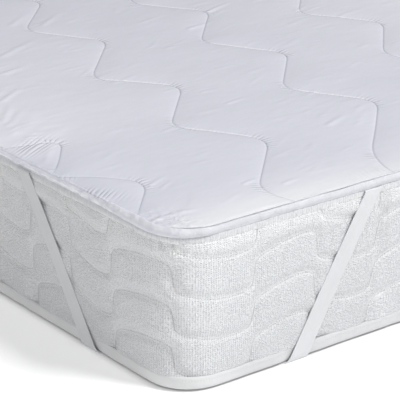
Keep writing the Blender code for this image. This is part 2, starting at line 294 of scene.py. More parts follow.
def corner_distance(run, at):
    """How far along the outline a place is from one that lies at both sides of each corner."""
    gaps = [abs(signed(run - corner - side * at)) for corner in CORNER_RUNS for side in (-1, 1)]
    return np.min(gaps, axis=0)


print("0.3 m along the short side:", np.round(on_outline(0.3)[0], 3))


# %% Bands that follow the outline
def runs_round(fine, coarse, reach):
    """Distances once round the outline, close together within reach of the near corner, where they start."""
    near = np.linspace(-reach, reach, round(2 * reach / fine) + 1)
    rest = PERIMETER - 2 * reach
    far = reach + np.linspace(0, rest, round(rest / coarse) + 1)[1:]
    return np.concatenate([near, far])


def band(name, run, out, height, closed):
    """A band round the mattress from its section: one row of out and height for each of its points."""
    if closed:
        out, height = np.concatenate([out, out[:1]]), np.concatenate([height, height[:1]])
    obj, column, row = flat_grid(name, len(run) - 1, len(out) - 1)
    point, outwards = on_outline(run[column])
    put_points(obj, np.column_stack([point + outwards * out[row, column][:, None], height[row, column]]))
    step = np.hypot(np.diff(out[:, 0]), np.diff(height[:, 0]))
    keep_place(obj, run[column], np.concatenate([[0], np.cumsum(step)])[row])
    edit(obj, merge_seam, face_out)
    return obj


print("places along a band, every 2 mm near the corner:", len(runs_round(0.002, 0.007, 0.5)))

# %% [markdown]
# ## The quilted pad
#
# A quilting machine sews the two cloth faces and the filling together along rounded zigzag lines.
# The thread holds the pad down in a narrow groove, and the filling puffs up between the grooves. A
# square grid would cut across the slanting lines and blur the grooves, so here every column of the
# grid runs beside a line of stitches, and the columns crowd together near it.

# %% Where the lines of stitches run
FIRST_TURN = np.array((-0.2007, -0.8069))
ALONG_LINE = np.array((0.0459, 0.2556))  # from one turn to the next of the same kind
NEXT_LINE = np.array((0.2262, 0.0323))
WAVE_DEPTH = 0.436  # of the step to the next line
WAVE_FALL = 0.546  # share of a repeat in which the line runs back
TURN_SHARE = 0.098  # of a repeat, over which each turn is rounded

# The near strap has drawn the cloth, and the lines in it, towards the edge, and so has the near short
# side's seam. Each is where, how far, and its reach.
CLOTH_PULLS = (((-0.415, -0.431), (-0.104, -0.114), (0.126, 0.151)),
               ((-0.544, -0.615), (-0.033, -0.075), (0.133, 0.109)),
               ((0.025, -0.998), (-0.132, -0.109), (0.257, 0.105)))


def quilt_wave(u):
    """How far a line runs back from its outer turns, as a share of the step to the next line."""
    u = u - np.floor(u)
    turn = np.where(u < WAVE_FALL, u / (2 * WAVE_FALL), (1 + (u - WAVE_FALL) / (1 - WAVE_FALL)) / 2)
    near = turn[..., None] + np.linspace(-TURN_SHARE, TURN_SHARE, 15)
    return -WAVE_DEPTH * 2 * abs(near - np.round(near)).mean(axis=-1)


def quilt_place(line, u):
    """A place on a line of stitches, u repeats along it, after the cloth has been pulled."""
    step = (line + quilt_wave(u))[..., None]
    place = FIRST_TURN + u[..., None] * ALONG_LINE + step * NEXT_LINE
    pulled = place
    for at, pull, reach in CLOTH_PULLS:
        share = np.exp(-(((place - at) / reach) ** 2).sum(axis=-1))
        pulled = pulled + share[..., None] * np.array(pull)
    return pulled


LINES = range(-4, 5)


# %% Finding the nearest stitches
LINE_MARGIN = 0.04  # the lines run on this far past the mattress's sides


def tree_of(point):
    """A search tree that finds the nearest of these points in the plane."""
    tree = kdtree.KDTree(len(point))
    for number, (x, y) in enumerate(point):
        tree.insert((x, y, 0), number)
    tree.balance()
    return tree


def finder(point, direction, run):
    """A function that gives any places' distance to the left of the nearest run, and where along it."""
    tree = tree_of(point)

    def nearest(x, y):
        index = np.array([tree.find((a, b, 0))[1] for a, b in zip(x, y)])
        gap = np.stack([x, y], axis=1) - point[index]
        left = gap[:, 1] * direction[index, 0] - gap[:, 0] * direction[index, 1]
        return left, run[index] + (gap * direction[index]).sum(axis=1), index
    return nearest


def sewn_runs(runs):
    """Joins runs of points into one table of points, directions and distances along each run."""
    direction, distance = [], []
    for run in runs:
        step = np.diff(run, axis=0, append=2 * run[-1:] - run[-2:-1])
        length = np.hypot(step[:, 0], step[:, 1])
        direction.append(step / length[:, None])
        distance.append(np.concatenate([[0], np.cumsum(length)[:-1]]))
    return np.concatenate(runs), np.concatenate(direction), np.concatenate(distance)


quilt_u = np.arange(-6, 9, 0.004)
quilt_runs = [quilt_place(np.full_like(quilt_u, line), quilt_u) for line in LINES]
quilt_runs = [run[(abs(run[:, 0]) < HALF_X + LINE_MARGIN) & (abs(run[:, 1]) < HALF_Y + LINE_MARGIN)]
              for run in quilt_runs]
quilt_runs = [run for run in quilt_runs if len(run) > 2]


def line_across(line, y):
    """Where a line, or a share of the way between two, crosses these rows."""
    path = quilt_place(np.full_like(quilt_u, line), quilt_u)
    return np.interp(y, path[:, 1], path[:, 0])


quilt_point, quilt_direction, quilt_distance = sewn_runs(quilt_runs)
near_stitches = finder(quilt_point, quilt_direction, quilt_distance)
outline_run = np.arange(0, PERIMETER, 0.002)
outline_place, outline_out = on_outline(outline_run)
near_outline = finder(outline_place, np.stack([-outline_out[:, 1], outline_out[:, 0]], axis=1), outline_run)
print(len(quilt_runs), "lines of stitches")

# %% [markdown]
# The creases come next. Faint ones lie all over the top, and nearly all of them point across the
# mattress. At the straps the elastic gathers the edge into deeper folds. Each crease is one soft ridge
# with a start, an end, a width and a height. The combs of short ridges where the thread turns are
# finer than the grid, so the material draws them.

# %% Creases
CREASE_COUNT = 460
FROM_LONG_END, FROM_SHORT_END, FOLD_STEP = 0.30, 0.26, 0.018  # where the straps' folds start


def crease_list(rng):
    """Rows of start x, start y, direction, length, width, height and how much it tapers at its start."""
    return [(rng.uniform(-HALF_X, HALF_X), rng.uniform(-HALF_Y, HALF_Y), math.radians(rng.normal(12, 13)),
             rng.uniform(0.03, 0.085), rng.uniform(0.0028, 0.0055), rng.uniform(0.0004, 0.0012), 1)
            for _ in range(CREASE_COUNT)]


def strap_folds(rng):
    """The long soft folds that lead away from both ends of each strap, as rows of the same kind."""
    rows = []
    for side_x, side_y in CORNERS:
        for number in range(6):
            y = side_y * (HALF_Y - FROM_LONG_END - FOLD_STEP * number + rng.normal(0, 0.003))
            lean = -side_y * (52 - 9 * number + rng.normal(0, 4))
            direction = lean if side_x < 0 else 180 - lean
            rows.append((side_x * (HALF_X - 0.008), y, math.radians(direction), rng.uniform(0.08, 0.15),
                         rng.uniform(0.005, 0.009), rng.uniform(0.0010, 0.0022), 0.3))
        for number in range(5):
            x = side_x * (HALF_X - FROM_SHORT_END - FOLD_STEP * number + rng.normal(0, 0.003))
            direction = -side_y * (90 - side_x * (24 - 12 * number + rng.normal(0, 5)))
            rows.append((x, side_y * HALF_Y, math.radians(direction), rng.uniform(0.04, 0.08),
                         rng.uniform(0.004, 0.007), rng.uniform(0.0006, 0.0012), 0.3))
    return rows


# The folds that the photograph shows near the camera: start, degrees, length, width, height.
NEAR_FOLDS = (
    (-0.506, -0.948, -2, 0.062, 0.0040, 0.0034), (-0.462, -0.950, -12, 0.040, 0.0040, 0.0022),
    (-0.341, -0.925, 15, 0.036, 0.0030, 0.0024), (-0.299, -0.953, 6, 0.034, 0.0035, 0.0020),
    (-0.437, -0.853, 18, 0.042, 0.0035, 0.0020), (-0.431, -0.872, 24, 0.036, 0.0030, 0.0014),
    (-0.469, -0.618, 39, 0.085, 0.0050, 0.0026), (-0.464, -0.585, 43, 0.090, 0.0060, 0.0024),
    (-0.452, -0.552, 43, 0.085, 0.0060, 0.0026), (-0.480, -0.535, 52, 0.120, 0.0090, 0.0022),
    (-0.157, -0.596, -14, 0.030, 0.0030, 0.0016), (-0.162, -0.661, 7, 0.048, 0.0035, 0.0018),
    (0.104, -0.269, 18, 0.080, 0.0045, 0.0028), (0.020, -0.330, 14, 0.070, 0.0045, 0.0020),
    (-0.150, -0.170, 35, 0.090, 0.0060, 0.0018), (-0.190, -0.140, 38, 0.100, 0.0060, 0.0014),
    (-0.295, -0.277, 27, 0.128, 0.0060, 0.0020), (-0.340, -0.349, 14, 0.070, 0.0060, 0.0018),
    (-0.407, -0.456, 33, 0.090, 0.0055, 0.0020), (-0.456, -0.572, 42, 0.085, 0.0055, 0.0022),
    (-0.451, -0.533, 50, 0.095, 0.0060, 0.0022), (-0.442, -0.572, 26, 0.045, 0.0040, 0.0016),
    (-0.230, -0.480, 12, 0.060, 0.0040, 0.0014), (-0.110, -0.820, 22, 0.070, 0.0050, 0.0020),
    (-0.300, -0.700, 16, 0.050, 0.0035, 0.0012))


def crease_height(x, y, creases):
    """How much all the creases together raise each point."""
    rise = np.zeros(len(x))
    for start_x, start_y, direction, length, width, height, taper in creases:
        reach = length + width * 4
        close = np.flatnonzero((abs(x - start_x) < reach) & (abs(y - start_y) < reach))
        gap_x, gap_y = x[close] - start_x, y[close] - start_y
        ahead = (gap_x * math.cos(direction) + gap_y * math.sin(direction)) / length
        aside = (gap_y * math.cos(direction) - gap_x * math.sin(direction)) / width
        inside = np.clip(ahead, 0, 1)
        begin = np.sin(np.pi / 2 * np.clip(inside / max(0.06, taper / 2), 0, 1))
        fade = begin * np.cos(np.pi / 2 * inside) ** 1.3 * ((ahead > 0) & (ahead < 1))
        rise[close] += height * fade * (np.exp(-aside**2) - 0.35 * np.exp(-(aside / 2.2) ** 2))
    return rise


print(len(NEAR_FOLDS), "folds near the camera,", CREASE_COUNT, "fine creases")


# %% The height of the pad's top
STITCH_HEIGHT = 0.2224
PUFF_HEIGHT, PUFF_REACH = 0.0034, 0.020
EDGE_ROUND, EDGE_CROWN, EDGE_REACH = 0.0055, 0.66, 0.042
COMB_REACH = 0.027  # how far the gathers reach from a turn of the thread

# The camera sees the top between these lines: a place on each, and the direction into the view.
VIEW_EDGES = ((-0.515, -0.627, 0.846, -0.532), (-0.057, -0.910, -0.736, 0.678),
              (-0.120, 0.001, -0.620, -0.784))
VIEW_MARGIN = 0.03


def in_view(x, y):
    """How far each place is inside the camera's view, at least."""
    return np.min([(x - a) * c + (y - b) * d for a, b, c, d in VIEW_EDGES], axis=0)


def seam_rise(run):
    """On the near short side the binding is sewn on higher up, and the pad's edge hangs over its seam."""
    uneven = uneven_round(run, (0.0009, 0.034, 24))
    return (0.0024 + uneven) * np.interp(signed(run), (-0.05, 0.02, 0.50, 0.60), (0, 1, 1, 0))


print("the seam's rise on the near short side:", np.round(seam_rise(np.array([0.1, 0.2, 0.3])), 4))


# %% How the top swells
def pad_height(x, y):
    """The height of the top at these places, how each lies to the stitches, and how far to x those lean."""
    left, along, stitch = near_stitches(x, y)
    edge_gap, edge_run, _ = near_outline(x, y)
    inset = np.clip(edge_gap + SEAM_OUT, 0, None)
    away = abs(left)
    full = (PUFF_HEIGHT * (1 - np.exp(-away / PUFF_REACH))
            + 0.0010 * uneven_over(x + 7, y + 9, 0.13, 3) + 0.0006 * uneven_over(x + 7, y + 9, 0.055, 4))
    # Close to the thread the cloth lies a little lower on the line's left than on its right.
    full -= 0.00032 * left / (away + 0.0005) * np.exp(-((left / 0.0045) ** 2))
    rng = np.random.default_rng(11)
    near = [(a, b, math.radians(c), d, e, f, 0.2) for a, b, c, d, e, f in NEAR_FOLDS]
    fine = np.clip((in_view(x, y) + VIEW_MARGIN) / VIEW_MARGIN, 0, 1)
    full += crease_height(x, y, crease_list(rng)) * fine + crease_height(x, y, strap_folds(rng) + near)
    full += uneven_round(edge_run, (0.0011, 0.0085, 21)) * np.exp(-inset / 0.012) * fine
    full += uneven_round(edge_run, (0.0012, 0.024, 22)) * np.exp(-inset / 0.030)
    turned = np.clip(inset / EDGE_ROUND, 0, 1)
    share = np.sqrt(1 - (1 - turned) ** 2) * (1 - EDGE_CROWN * np.exp(-inset / EDGE_REACH))
    seam = SEAM_HEIGHT + seam_rise(edge_run)
    height = seam + (STITCH_HEIGHT + full - seam) * share
    return height, left, along, quilt_direction[stitch, 0]


print("the top's height at three places across the mattress:",
      np.round(pad_height(np.array([-0.2, -0.1, 0.0]), np.array([-0.5, -0.5, -0.5]))[0], 4))


# %% Combs at the turns of the stitches
def turn_comb(place, left):
    """Near 1 on the outer side of each turn of a line, where the thread gathers the cloth."""
    turns = [(line, repeat + half * WAVE_FALL, half)
             for line in LINES for repeat in range(-6, 10) for half in (0, 1)]
    tree = tree_of([quilt_place(np.array(float(line)), np.array(float(u))) for line, u, _ in turns])
    found = [tree.find((x, y, 0)) for x, y in place[:, :2]]
    far = np.array([gap for _, _, gap in found])
    half = np.array([turns[number][2] for _, number, _ in found])
    outer = np.where(half == 1, left > 0, left < 0)
    return np.exp(-((far / COMB_REACH) ** 2)) * (0.25 + 0.75 * outer)


# %% The pad's grid
PAD_ROWS = 688
HALF_COLUMNS = 33  # from a line of stitches to the middle between two
COARSE = 3  # out of the camera's view, only every third row and column
ON_SIDE = 0.0012  # a point this close to the pad's side is put on it


def round_corners(x, y, half_x, half_y, radius):
    """Draws the points near a rectangle's corners in, so that its outline gets round ones."""
    gap_x, gap_y = abs(x) - (half_x - radius), abs(y) - (half_y - radius)
    in_corner = (gap_x > 0) & (gap_y > 0)
    shrink = np.where(in_corner, np.maximum(gap_x, gap_y) / np.maximum(np.hypot(gap_x, gap_y), 1e-9), 1)
    new_x = np.where(in_corner, np.sign(x) * (half_x - radius + gap_x * shrink), x)
    new_y = np.where(in_corner, np.sign(y) * (half_y - radius + gap_y * shrink), y)
    return new_x, new_y


def pad_grid(half_x, half_y):
    """The grid inside the rim. Its columns follow the stitches, and stop at the long sides."""
    near_line = 0.5 * (np.arange(HALF_COLUMNS) / HALF_COLUMNS) ** 1.25
    shares = np.concatenate([near_line, [0.5], 1 - near_line[:0:-1]])
    lines = np.concatenate([line + shares for line in LINES])
    rows = np.linspace(-half_y, half_y, PAD_ROWS)
    obj, column, row = flat_grid("quilted_pad", len(lines) - 1, len(rows) - 1)
    x_of = np.array([line_across(line, rows) for line in lines])
    # Out of the camera's view the points between are moved onto those rows and columns, and merged.
    first_column, first_row = column - column % COARSE, row - row % COARSE
    plain = in_view(np.clip(x_of[first_column, first_row], -half_x, half_x), rows[first_row]) < -VIEW_MARGIN
    column, row = np.where(plain, first_column, column), np.where(plain, first_row, row)
    x, y = x_of[column, row], rows[row]
    x = np.where(half_x - abs(x) < ON_SIDE, np.sign(x) * half_x, x)
    put_points(obj, np.column_stack([x, y, np.zeros(len(x))]))
    edit(obj, merge_seam)
    return obj


print("points in the pad's grid, at first:", PAD_ROWS * len(LINES) * 2 * HALF_COLUMNS)


# %% The pad's rim and underside
RIM_INSET = 0.014
RIM_STEPS = (0.0115, 0.0090, 0.0068, 0.0050, 0.0036, 0.0024, 0.0014, 0.0007, 0.0002, 0.0)
UNDER_STEPS = ((0.0022, 0.2190), (0.0030, 0.2160), (0.0042, 0.2135), (0.0110, 0.2114), (0.0150, PAD_BOTTOM))


def outward_at(x, y):
    """The direction out of the mattress's outline, for points near it."""
    gap_x = max(0.0, abs(x) - HALF_X + CORNER_RADIUS)
    gap_y = max(0.0, abs(y) - HALF_Y + CORNER_RADIUS)
    if gap_x == 0 and gap_y == 0:
        gap_x, gap_y = (1, 0) if HALF_X - abs(x) < HALF_Y - abs(y) else (0, 1)
    length = math.hypot(gap_x, gap_y)
    return math.copysign(gap_x / length, x), math.copysign(gap_y / length, y)


def sort_parts(parts, place):
    """Puts a mesh's points or faces in the order of their places, because an extrusion's own varies."""
    in_order = sorted(parts, key=lambda part: place(part)[:])
    rank = {part: number for number, part in enumerate(in_order)}
    parts.sort(key=lambda part: rank[part])


def add_rim(obj):
    """Rings of faces from the grid's edge out to the seam, then down and under, and the underside."""
    bm = bmesh.new()
    bm.from_mesh(obj.data)
    edges = [e for e in bm.edges if e.is_boundary]
    inset = RIM_INSET
    for next_inset, height in (*((step, 0) for step in RIM_STEPS), *UNDER_STEPS):
        made = bmesh.ops.extrude_edge_only(bm, edges=edges)["geom"]
        for v in (g for g in made if isinstance(g, bmesh.types.BMVert)):
            out_x, out_y = outward_at(v.co.x, v.co.y)
            v.co.x += out_x * (inset - next_inset)
            v.co.y += out_y * (inset - next_inset)
            v.co.z = height
        edges = [g for g in made if isinstance(g, bmesh.types.BMEdge) and g.is_boundary]
        inset = next_inset
    bmesh.ops.holes_fill(bm, edges=edges, sides=0)
    sort_parts(bm.verts, lambda v: v.co)
    sort_parts(bm.faces, lambda f: f.calc_center_median())
    bm.to_mesh(obj.data)
    bm.free()


print(len(RIM_STEPS) + len(UNDER_STEPS), "rings of faces round the grid")

# %% The quilted pad
ON_THREAD = 0.0004  # closer to a line than this, neither side is lit
FULL_LEAN = 0.58  # the leaning of a line whose side catches the lamp fully


def quilted_pad():
    inner = SEAM_OUT - RIM_INSET
    obj = pad_grid(HALF_X + inner, HALF_Y + inner)
    place = points_of(obj)
    place[:, 0], place[:, 1] = round_corners(place[:, 0], place[:, 1], HALF_X + inner, HALF_Y + inner,
                                             CORNER_RADIUS + inner)
    put_points(obj, place)
    add_rim(obj)
    place = points_of(obj)
    top = place[:, 2] == 0
    # The points under the seam keep a place far from any stitch.
    left, along, leaning = np.full(len(place), 0.1), np.zeros(len(place)), np.zeros(len(place))
    place[top, 2], left[top], along[top], leaning[top] = pad_height(place[top, 0], place[top, 1])
    put_points(obj, place)
    keep_place(obj, place[:, 0], place[:, 1], "cloth")
    keep_place(obj, abs(left), along, "stitches")
    keep_place(obj, turn_comb(place, left), leaning, "combs")
    lit_side = np.where(abs(left) > ON_THREAD, np.sign(left) * leaning / FULL_LEAN, 0)
    keep_place(obj, np.clip(lit_side, -1, 1), leaning, "sides")
    edit(obj, face_out)
    smooth(obj)
    return obj


pad = quilted_pad()
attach(pad, "root")
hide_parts("topper_pad")
print("pad:", len(pad.data.vertices), "points, top at", round(max(points_of(pad)[:, 2]), 4))

# %% [markdown]
# ## The binding
#
# A folded strip of cloth closes the pad's edge. Its body stands out as a soft roll, a little uneven
# where the machine fed the cloth, and its top edge laps over the pad. On the near short side it is
# sewn on higher up, and there the pad's edge hangs over its seam. It is drawn as one closed section
# that goes all the way round, so it has a real thickness.

# %% The binding's section, sent round the outline
BAND_REACH = 0.50  # how far from the near corner the fine part of a band reaches
LEAN_HEIGHT = 0.2190  # where the strip leans, it is drawn in below this height


def section_rows(section, bulge, dip, lean=0.0):
    """Section points of out, height, share of the bulge and share of the dip, for every place on the run."""
    out, height, bulges, dips = (np.array(column)[:, None] for column in zip(*section))
    return out + bulges * (bulge + lean * (height - LEAN_HEIGHT)), height + dips * dip


BINDING_SECTION = (
    (-0.0085, 0.2088, 0, 0), (0.0030, 0.2088, 0, 0.5), (0.0053, 0.2089, 0.4, 0.9), (0.0069, 0.2096, 0.8, 1),
    (0.0079, 0.2110, 1, 0.9), (0.0084, 0.2128, 1, 0.7), (0.0083, 0.2147, 1, 0.5), (0.0077, 0.2166, 0.9, 0.3),
    (0.0071, 0.2180, 0.6, 0.1), (0.0063, 0.2189, 0.4, 0), (0.0056, 0.2190, 0.2, 0), (0.0051, 0.2180, 0, 0),
    (0.0056, 0.2160, 0.4, 0.3), (0.0055, 0.2128, 0.4, 0.8), (0.0030, 0.2108, 0, 0.5), (-0.0085, 0.2098, 0, 0))
# How far the lower edge is drawn up, and the whole strip in, along the two sides that the camera sees.
RUNS_SEEN = (-0.45, -0.37, -0.345, -0.300, -0.270, -0.220, -0.160, -0.120, -0.060,
             0.020, 0.060, 0.150, 0.250, 0.280, 0.320, 0.345, 0.45)
DRAWN_UP = (0.0026, 0.0026, 0.0008, 0.0008, 0.0026, 0.0030, 0.0024, 0.0008, -0.0004,
            0.0, 0.0003, 0.0005, 0.0003, 0.0, 0.0, 0.0004, 0.0004)
DRAWN_IN = (0.0022, 0.0026, 0.0026, 0.0026, 0.0026, 0.0024, 0.0016, 0.0004, -0.0002,
            0.0, 0.0006, 0.0012, 0.0010, 0.0008, 0.0008, 0.0010, 0.0010)
UP_ELSEWHERE, IN_ELSEWHERE = 0.0008, 0.0005
binding_run = runs_round(0.0022, 0.0070, BAND_REACH)
soft_bulge = (uneven_round(binding_run, (0.0009, 0.015, 31), (0.0007, 0.042, 32), (0.0003, 0.0065, 33))
              - np.interp(binding_run, RUNS_SEEN, DRAWN_IN, IN_ELSEWHERE, IN_ELSEWHERE))
soft_dip = (uneven_round(binding_run, (0.0007, 0.055, 34), (0.0004, 0.018, 35))
            + np.interp(binding_run, RUNS_SEEN, DRAWN_UP, UP_ELSEWHERE, UP_ELSEWHERE))
# On the two near sides the strip is drawn in below.
strip_lean = np.interp(signed(binding_run), (-0.70, -0.60, -0.14, -0.08, 0.00, 0.05, 0.50, 0.60),
                       (0, 0.28, 0.28, 0.14, 0.08, 0.34, 0.34, 0))
print("binding's drawing in, up to", round(float(-soft_bulge.min()) * 1000, 1), "mm")

# %% The binding's top edge
binding_out, binding_height = section_rows(BINDING_SECTION, soft_bulge, soft_dip, strip_lean)
near_top = np.clip((binding_height - 0.2150) / 0.0040, 0, 1) ** 2
# Elsewhere than on the near short side, its top edge laps over the pad's edge.
lapped = np.interp(binding_run, (-0.06, 0.015, 0.50, 0.60), (1, 0, 0, 1))
binding_out -= near_top * 0.0034 * lapped
binding_height += near_top * (0.0008 + 0.0024 * lapped + 0.5 * seam_rise(binding_run))
binding = band("edge_binding", binding_run, binding_out, binding_height, True)
smooth(binding)
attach(binding, "root")
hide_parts("topper_binding")
print("binding:", len(binding.data.polygons), "faces")

# %% [markdown]
# ## The mattress's tapes
#
# Two tapes hold the mattress's side cover to its top and bottom panels. The upper one is a
# knit like the cover, lies flush with it, and goes in under the binding. The lower one is a rolled
# edge that lies just above the floor, and the straps squeeze it where they pass over.

# %% The lower tape
FOOT_EDGE, FOOT_MIDDLE = 0.170, 0.018  # from the corner to a strap's foot, and on to its middle
STRAP_FOOT_RUN = FOOT_EDGE + FOOT_MIDDLE - CORNER_RADIUS + QUARTER / 2


def tape_squeeze(run):
    """1 where a strap presses the lower tape, 0 elsewhere."""
    return np.exp(-(np.clip(corner_distance(run, STRAP_FOOT_RUN) - 0.014, 0, None) / 0.010) ** 2)


tape_run = runs_round(0.004, 0.010, BAND_REACH)
tape_wave = (uneven_round(tape_run, (0.0007, 0.020, 41), (0.0005, 0.07, 42))
             - 0.0022 * tape_squeeze(tape_run))
tape_lift = (uneven_round(tape_run, (0.0009, 0.06, 43), (0.0004, 0.017, 44))
             - 0.0010 * tape_squeeze(tape_run))
BOTTOM_TAPE_SECTION = (
    (-0.0070, 0.0026, 0, 0), (-0.0030, 0.0025, 0, 0), (0.0000, 0.0030, 0.4, 0), (0.0018, 0.0046, 0.8, 0),
    (0.0028, 0.0075, 1, 0), (0.0032, 0.0110, 1, 0), (0.0034, 0.0145, 1, 0.2), (0.0039, 0.0175, 1, 0.5),
    (0.0038, 0.0198, 0.9, 0.9), (0.0028, 0.0212, 0.6, 1), (0.0014, 0.0212, 0.2, 1), (0.0005, 0.0198, 0, 1),
    (0.0004, 0.0140, 0, 0), (0.0003, 0.0090, 0, 0), (-0.0012, 0.0050, 0, 0), (-0.0070, 0.0036, 0, 0))
lower_tape = band("lower_tape", tape_run, *section_rows(BOTTOM_TAPE_SECTION, tape_wave, tape_lift), True)
print("lower tape:", len(lower_tape.data.polygons), "faces")

# %% The upper tape
TOP_TAPE_SECTION = (
    (-0.0006, 0.1975, 0, 0), (0.0010, 0.1982, 0.3, 0), (0.0026, 0.2002, 0.8, 0), (0.0033, 0.2026, 1, 0),
    (0.0034, 0.2050, 1, 0.3), (0.0030, 0.2076, 0.8, 0.9), (0.0022, 0.2089, 0.4, 1), (-0.0060, 0.2088, 0, 0),
    (-0.0060, 0.2083, 0, 0), (-0.0012, 0.2077, 0, 0), (0.0004, 0.2060, 0, 0), (0.0004, 0.2034, 0, 0),
    (-0.0006, 0.2000, 0, 0))
upper_wave = uneven_round(tape_run, (0.0004, 0.03, 45))
tucked = np.interp(tape_run, binding_run, soft_dip) * 0.9  # it follows the binding's lower edge
upper_tape = band("upper_tape", tape_run, *section_rows(TOP_TAPE_SECTION, upper_wave, tucked), True)
for tape, node in ((lower_tape, "mattress_bottom_tape"), (upper_tape, "mattress_top_tape")):
    smooth(tape, 50)
    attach(tape, "root")
    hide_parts(node)
print("upper tape:", len(upper_tape.data.polygons), "faces")

# %% [markdown]
# ## The mattress
#
# The mattress's side is a thick knitted cover, quilted to a padding along rounded square waves, one
# row above the other, so it swells between the lines. Its grid has a column every 2.6 mm near the
# camera. The top hides under the pad, so one plain face closes it, and the bottom has a shallow
# groove at each corner for its strap.

# %% How the side swells between its stitches
WAVE_REPEAT = PERIMETER / 28
WAVE_RISE = 0.1035  # a place on the outline where a line climbs
STEP_HEIGHT = 0.0205  # half of the quick climb
DRIFT_HEIGHT, DRIFT_LAG = 0.0080, math.radians(50)  # the slow climb after it
ROW_STEP, ROW_HEIGHT = 0.055, 0.0380  # between the rows, and the lowest row's middle
SQUARENESS = 16.0
SIDE_REACH = 0.46  # the side's band starts and ends this far from the near corner, on the long side


def side_wave(place):
    """How high a line of stitches runs there, above its row's middle."""
    turn = 2 * np.pi * (place - WAVE_RISE) / WAVE_REPEAT
    step = np.arctan(SQUARENESS * np.sin(turn)) / math.atan(SQUARENESS)
    return STEP_HEIGHT * step + DRIFT_HEIGHT * np.sin(turn - DRIFT_LAG)


# Where the lines climb near the camera, and where an even pattern would have them climb.
CLIMBS_END = 0.550
CLIMBS_SEEN = (-CLIMBS_END, -0.3104, -0.1251, 0.1040, 0.3030, CLIMBS_END)
CLIMBS_EVEN = (-CLIMBS_END, -0.3177, -0.1071, 0.1035, 0.3141, CLIMBS_END)
SLANT, SLANT_END, SLANT_FADE, SLANT_HEIGHT = 0.4, 0.33, 0.02, 0.10


def wave_place(run, height):
    """The place in the pattern of waves. The straps' pull slants it on the two sides that they cross."""
    short = signed(run)
    slant = (SLANT * np.where(abs(short) < SLANT_END, short, 0)
             * np.clip((SLANT_END - abs(short)) / SLANT_FADE, 0, 1))
    found = np.interp(short - slant * (height - SLANT_HEIGHT), CLIMBS_SEEN, CLIMBS_EVEN)
    return run - short + np.where(abs(short) < CLIMBS_END, found, short)


places = np.arange(-0.3, PERIMETER + 0.3, 0.0010)
wave_runs = [np.column_stack([places, ROW_HEIGHT + ROW_STEP * row_number + side_wave(places)])
             for row_number in range(-1, 5)]
near_side_stitches = finder(*sewn_runs(wave_runs))


def side_bulge(height):
    """The whole side's own soft swell, from its bottom edge to its top edge."""
    share = np.clip((height - 0.026) / (MATTRESS_HEIGHT - 0.052), 0, 1)
    return 0.004 * np.sin(np.pi * share)


def side_swell(run, height):
    """How far the cover stands out from the mattress's plain side."""
    left, _, _ = near_side_stitches(wave_place(run, height) % PERIMETER, height)
    puff = 0.0033 * (1 - np.exp(-((left / 0.0070) ** 2)))
    soft = (0.0006 * uneven_over(run + 9, height + 3, 0.045, 51)
            + 0.0004 * uneven_over(run + 9, height + 3, 0.017, 52))
    soft *= np.clip(abs(signed(run + SIDE_REACH)) / 0.04, 0, 1)  # nothing where the band's ends meet
    return puff + soft - 0.0021 + 0.0032 * np.exp(-((height / 0.034) ** 2))


print(len(wave_runs), "rows of waves on the mattress's side")


# %% The mattress's side, top and bottom
SHOULDER = 0.013  # the radius of the soft top edge
UNDER_OUT = -0.0110  # how far in the bottom edge starts
SIDE_ROWS = 66
STRAP_DIAGONAL = (FOOT_EDGE + FOOT_MIDDLE) / math.sqrt(2)  # from the corner to its strap's middle, under it
GROOVE_RISE = 0.0019
GROOVE_EDGES = (STRAP_DIAGONAL - 0.0175, STRAP_DIAGONAL - 0.0160,
                STRAP_DIAGONAL + 0.0160, STRAP_DIAGONAL + 0.0175)
ON_FLOOR = 1e-6


def mattress_section():
    """Out and height from under the bottom edge, up the side and in over the top edge."""
    low = [(UNDER_OUT, 0.0), (UNDER_OUT + 0.0010, 0.0022), (-0.0060, 0.0036), (-0.0026, 0.0056),
           (-0.0008, 0.0090)]
    side = [(0.0, z) for z in np.linspace(0.012, MATTRESS_HEIGHT - SHOULDER, SIDE_ROWS)]
    high = [(SHOULDER * (math.cos(a) - 1), MATTRESS_HEIGHT - SHOULDER * (1 - math.sin(a)))
            for a in np.linspace(0, math.pi / 2, 7)[1:]]
    return np.array(low + side + high + [(-0.045, MATTRESS_HEIGHT)])


def section_length(section):
    """How far along the section each of its points lies."""
    return np.concatenate([[0], np.cumsum(np.hypot(np.diff(section[:, 0]), np.diff(section[:, 1])))])


def mattress():
    section = mattress_section()
    run = runs_round(0.0026, 0.0066, SIDE_REACH)
    out = np.repeat(section[:, :1], len(run), axis=1)
    height = np.repeat(section[:, 1:], len(run), axis=1)
    upright = np.clip((height - 0.0150) / 0.004, 0, 1) * np.clip((0.2085 - height) / 0.006, 0, 1)
    swell = side_swell(np.broadcast_to(run, out.shape).ravel(), height.ravel()).reshape(out.shape)
    full_shoulder = 0.0040 * np.exp(-((height - 0.186) / 0.014) ** 2)
    out = out + side_bulge(height) * 0.6 + swell * upright + full_shoulder * upright
    obj = band("mattress", run, out, height, False)
    # Its cloth is measured by the pattern of waves and by the height, so the stitches meet the swells.
    layer = obj.data.uv_layers["cloth"]
    pair = np.empty(len(layer.data) * 2, dtype=np.float32)
    layer.data.foreach_get("uv", pair)
    pair[1::2] = np.interp(pair[1::2], section_length(section), section[:, 1])
    pair[0::2] = wave_place(pair[0::2], pair[1::2])
    layer.data.foreach_set("uv", pair)
    close_ends(obj)
    return obj


# %% The mattress's closed ends and its grooves
def in_groove(place):
    """Whether a point of the underside lies in a strap's groove."""
    inward = (HALF_X - abs(place.x) + HALF_Y - abs(place.y)) / math.sqrt(2)
    return abs(inward - STRAP_DIAGONAL) < 0.0167


